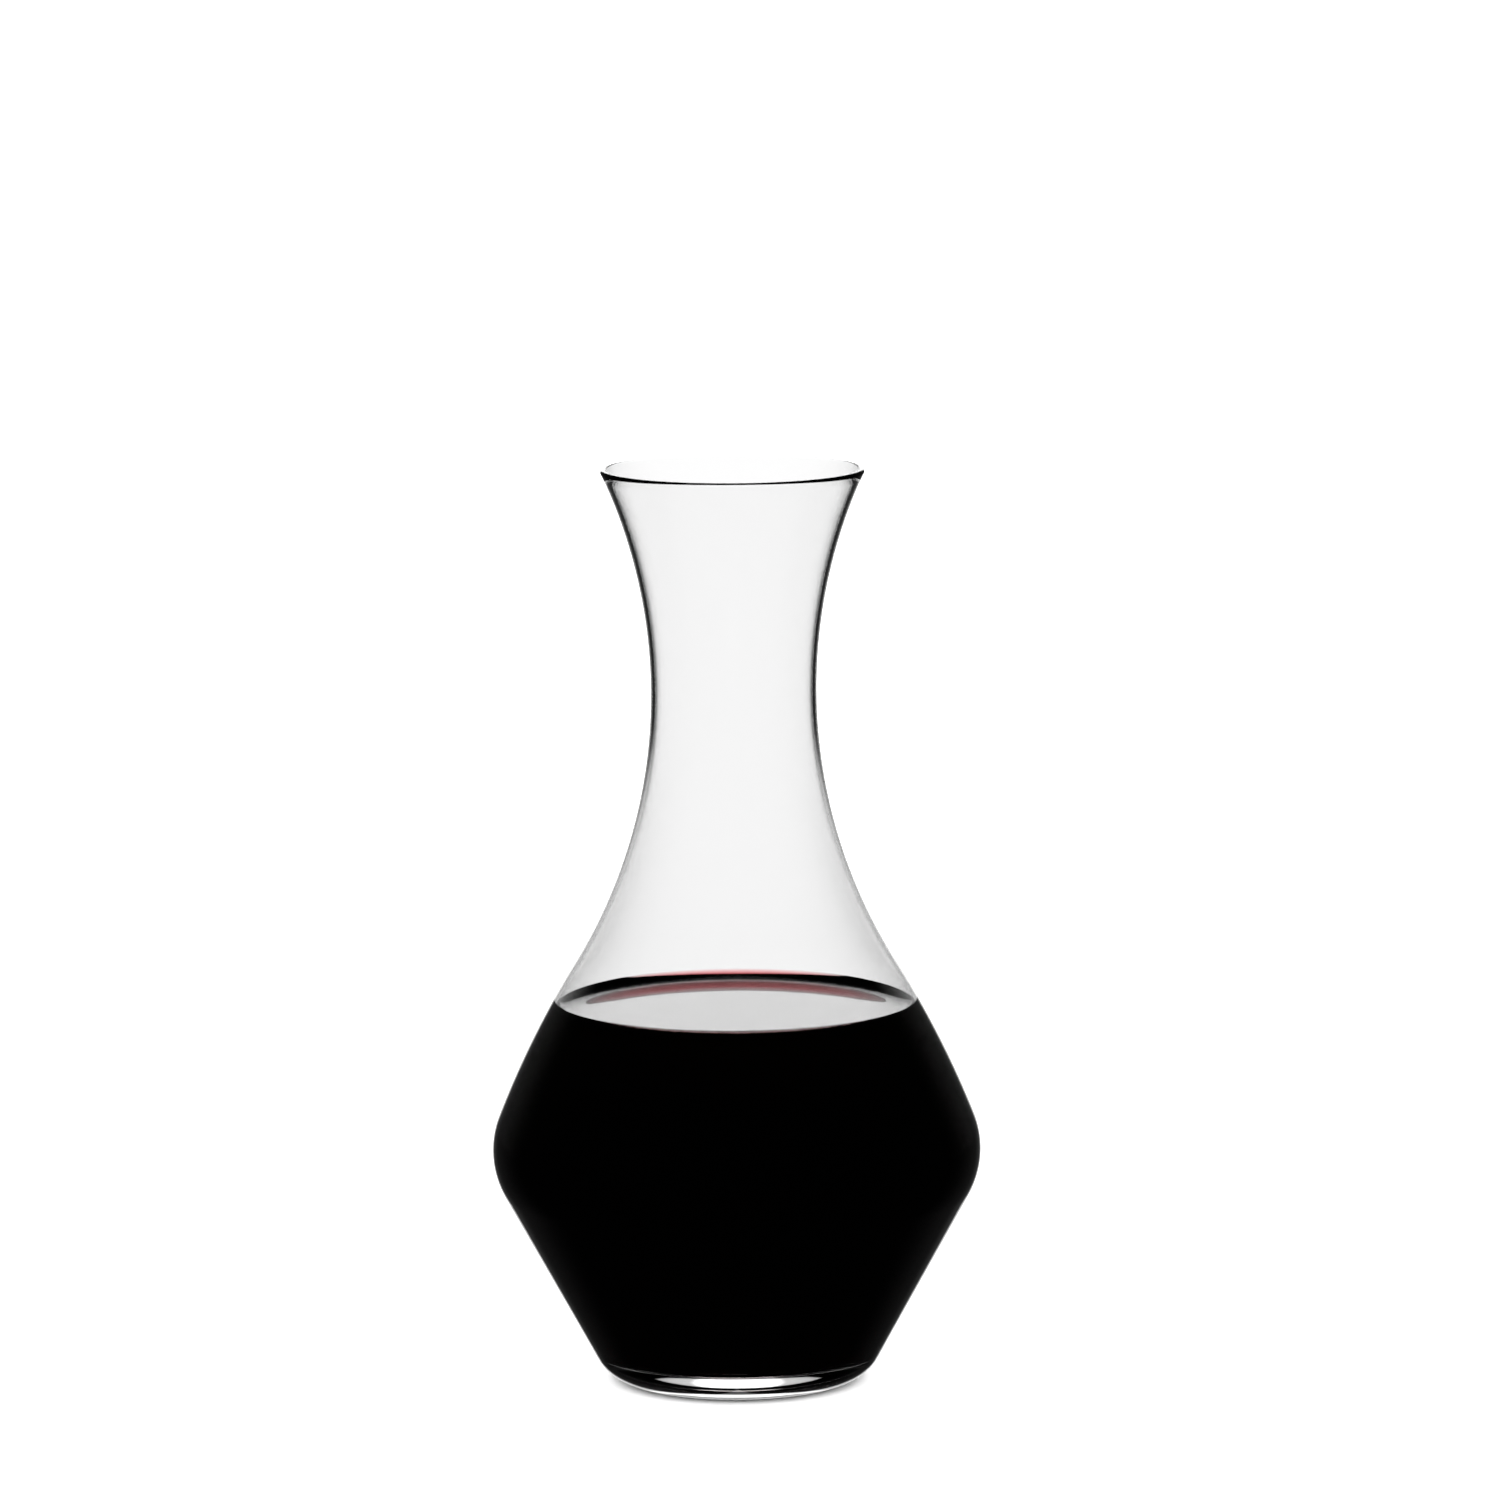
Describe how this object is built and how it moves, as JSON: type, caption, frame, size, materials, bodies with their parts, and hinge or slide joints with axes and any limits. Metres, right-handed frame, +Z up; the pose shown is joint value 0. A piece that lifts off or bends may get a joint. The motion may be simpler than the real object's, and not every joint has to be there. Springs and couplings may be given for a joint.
{
  "type": "wine decanter",
  "caption": "Clear glass decanter with a flared lip, slim waisted neck, rounded widest point and cone foot, filled above its widest point with red wine.",
  "frame": {"origin": "centre of the standing ring, on the surface that the decanter stands on", "axes": "+Z up along the axis of the turned body; +X and +Y are alike, because the body is round"},
  "size_m": [0.124, 0.124, 0.2331],
  "materials": {
    "clear_glass": "gloss",
    "red_wine": "gloss"
  },
  "bodies": {
    "root": {"decanter_glass": "clear_glass", "wine": "red_wine"}
  },
  "joints": []
}
